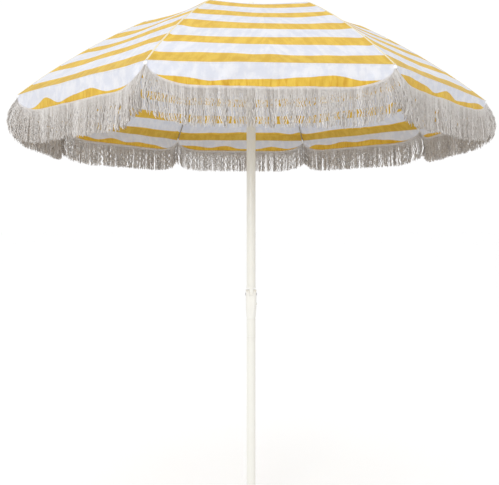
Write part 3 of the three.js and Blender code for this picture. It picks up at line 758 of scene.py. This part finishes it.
# ---------------------------------------------------------------- rib ends

def lathe(outline, segments=24):
    """Points and faces of an outline of (radius, height), turned about Z."""
    angle = np.arange(segments + 1) * 2 * np.pi / segments
    radius, height = np.array(outline).T
    points = stacked(radius[:, None] * np.cos(angle), radius[:, None] * np.sin(angle), height[:, None])
    return points, grid_faces(len(outline), segments + 1)


def make_rib_end(rib, material):
    """A moulded cap pushed over the rib's end, with a round nose that stands out of the hem's corner."""
    outline = [(0.0027, -0.016), (0.0041, -0.0155), (0.0044, -0.010), (0.0044, -0.003), (0.0050, -0.001),
               (0.0050, 0.001), (0.0042, 0.0018)]
    ball = 0.0058                       # radius of the nose, and its centre's distance from the rib's tip
    neck, steps = 140, 12               # the nose starts this many degrees from its pole
    for i in range(steps + 1):
        angle = math.radians(neck - neck * i / steps)
        outline.append((ball * math.sin(angle) + 1e-5, ball + ball * math.cos(angle)))
    points, faces = lathe(outline)
    c, s = math.cos(TIP_SLOPE), math.sin(TIP_SLOPE)
    along_rib = np.array([[-s, 0, -c], [0, 1, 0], [c, 0, -s]])   # local Z lies along the rib's end
    points = points.reshape(-1, 3) @ along_rib + np.array([TIP_R, 0, TIP_Z])
    return piece(f"rib_end_{rib}", turned_to_rib(points, rib), faces, material)


# ---------------------------------------------------------------- assembly

def round_edges(node, material, width, angle):
    """A CAD node keeps its mesh, and gets rounded edges and a material."""
    mesh = node.data
    if "custom_normal" in mesh.attributes:
        mesh.attributes.remove(mesh.attributes["custom_normal"])
    mesh.polygons.foreach_set("use_smooth", [True] * len(mesh.polygons))
    mesh.materials.clear()
    mesh.materials.append(material)
    weld = node.modifiers.new("weld", "WELD")
    weld.merge_threshold = 2e-6
    bevel = node.modifiers.new("bevel", "BEVEL")
    bevel.width, bevel.segments = width, 2
    bevel.limit_method, bevel.angle_limit = "ANGLE", math.radians(angle)
    bevel.use_clamp_overlap = True
    node.modifiers.new("normals", "WEIGHTED_NORMAL")


CLOTH = cloth_material("canopy_cloth")
COTTON = cotton_material("fringe_cotton", (rgb(1.0, 0.985, 0.97), rgb(0.72, 0.68, 0.64)))
HEAD_COTTON = cotton_material("fringe_head", (rgb(0.95, 0.94, 0.94), rgb(0.78, 0.76, 0.76)), False)
TAPE = tape_material()
PAINT = paint_material()
PLASTIC = plastic_material("white_plastic", rgb(0.86, 0.85, 0.80), rgb(0.81, 0.80, 0.75))
CAP_PLASTIC = plastic_material("cap_plastic", rgb(0.88, 0.88, 0.88), rgb(0.82, 0.82, 0.82))
STEEL = steel_material()
# Painted shade: the ribs' dark brown-grey is the colour they take in the canopy's shadow.
RIB_LACQUER_PAINTED_SHADE = plastic_material("rib_lacquer", rgb(0.42, 0.38, 0.31), rgb(0.33, 0.29, 0.23))
FINISHES = {"pole_paint": PAINT, "rib_lacquer": RIB_LACQUER_PAINTED_SHADE, "white_plastic": PLASTIC, "steel": STEEL}

DEFAULT_BEVEL = 0.0006
BEVELS = {"rib": 0.0002, "strut": 0.0004, "tilt_spring": 0.0001, "crown_wire": 0.0001,
          "tilt_pin": 0.0003, "lower_pole": 0.0003, "mid_pole": 0.0003, "upper_pole": 0.0003}


def dress_cad_nodes():
    """The cloth nodes get no finish, because hang_soft_goods makes pieces that replace them."""
    slots = {part["node"]: part["material_slot"] for part in frame["record"]["subparts"]}
    for name, node in frame["nodes"].items():
        kind = name.rsplit("_", 1)[0] if name[-1].isdigit() else name
        finish = FINISHES.get(slots[name])
        if finish:
            sharp = 62 if kind in ("rib", "crown_wire") else 50     # degrees; leaves six-sided bars alone
            round_edges(node, finish, BEVELS.get(kind, DEFAULT_BEVEL), sharp)


def hang_canopy(rib, cloth):
    """The cloth round one rib, with its tape and the rib's end."""
    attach(cloth, f"rib_{rib}")
    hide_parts(f"canopy_{rib}")
    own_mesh(cloth)
    tape = make_tape(rib, TAPE)
    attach(tape, f"rib_{rib}")
    end = make_rib_end(rib, CAP_PLASTIC)
    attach(end, f"rib_{rib}")
    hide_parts(f"rib_tip_{rib}")


def hang_valance(rib, side):
    """Half a gore's valance with its head and fringe."""
    valance = make_valance(rib, side, CLOTH)
    head = make_header(rib, side, HEAD_COTTON)
    fringe = make_fringe(rib, side, COTTON)
    slots = ((valance, "canopy_cloth"), (head, "fringe_cotton"), (fringe, "fringe_cotton"))
    for obj, slot in slots:
        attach(obj, f"skirt_{rib}")
        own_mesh(obj)
    if side > 0:
        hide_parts(f"skirt_{rib}")


def cover_crown():
    patch = make_crown_patch(CLOTH)
    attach(patch, "upper_pole")
    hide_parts("crown_patch")


def hang_soft_goods():
    for rib, cloth in enumerate(make_canopy(CLOTH), 1):
        hang_canopy(rib, cloth)
        for side in (-1, 1):
            hang_valance(rib, side)
    cover_crown()


# ---------------------------------------------------------------- stage, light and camera

def set_camera():
    """The photograph's view, from under the height of the shade's rim."""
    distance, height = 2.574, 1.364
    azimuth, tilt, turn = (math.radians(angle) for angle in (-4, 87.74, 0.15))
    camera = bpy.data.objects.new("camera", bpy.data.cameras.new("camera"))
    bpy.context.scene.collection.objects.link(camera)
    camera.data.sensor_width = 36
    camera.data.lens = 43.62
    camera.location = (distance * math.sin(azimuth), -distance * math.cos(azimuth), height)
    camera.rotation_euler = (tilt, 0, azimuth + turn)
    bpy.context.scene.camera = camera


def add_area(name, place, target, size, power):
    """A round white lamp. size is its diameter in metres and power is in watts."""
    light = bpy.data.lights.new(name, "AREA")
    light.shape, light.size, light.energy = "DISK", size, power
    obj = bpy.data.objects.new(name, light)
    obj.location = place
    obj.rotation_euler = (Vector(target) - Vector(place)).to_track_quat("-Z", "Y").to_euler()
    bpy.context.scene.collection.objects.link(obj)


def set_world():
    """A white studio, a little dimmer below the horizon."""
    scene = bpy.context.scene
    scene.view_settings.view_transform = "Standard"
    world = bpy.data.worlds.new("studio")
    world.use_nodes = True
    nodes, links = world.node_tree.nodes, world.node_tree.links
    split = nodes.new("ShaderNodeSeparateXYZ")
    links.new(nodes.new("ShaderNodeTexCoord").outputs["Generated"], split.inputs[0])
    strength = nodes.new("ShaderNodeMapRange")
    links.new(split.outputs["Z"], strength.inputs["Value"])
    for key, value in (("From Min", -0.12), ("From Max", -0.02), ("To Min", 0.87), ("To Max", 1.02)):
        strength.inputs[key].default_value = value
    background = nodes["Background"]
    background.inputs["Color"].default_value = rgb(1, 1, 1)
    links.new(strength.outputs[0], background.inputs["Strength"])
    scene.world = world


def lay_floor():
    height = -0.0005                    # just under the pole's foot
    shader = Shader("floor", Roughness=0.9)
    clouds = shader.noise(shader.coordinates(), 3, 3)
    shader.put(shader.surface, "Base Color",
               shader.mix(clouds, rgb(0.99, 0.99, 0.99), rgb(0.98, 0.98, 0.98)))
    points, faces = lathe([(radius, height) for radius in (0, 2, 8, 60)], 96)
    floor = piece("floor", points, faces[:, ::-1], shader.material)
    floor.visible_diffuse = False       # the shade's underside sees the dim lower half of the studio


def set_stage():
    set_world()
    lay_floor()
    add_area("key", (-1.5, -4.2, 2.3), (0, 0, 1.5), 2.0, 66)
    add_area("top", (-0.6, -0.8, 5.2), (0, 0, 1.9), 3.5, 8)


set_camera()
set_stage()
dress_cad_nodes()
hang_soft_goods()
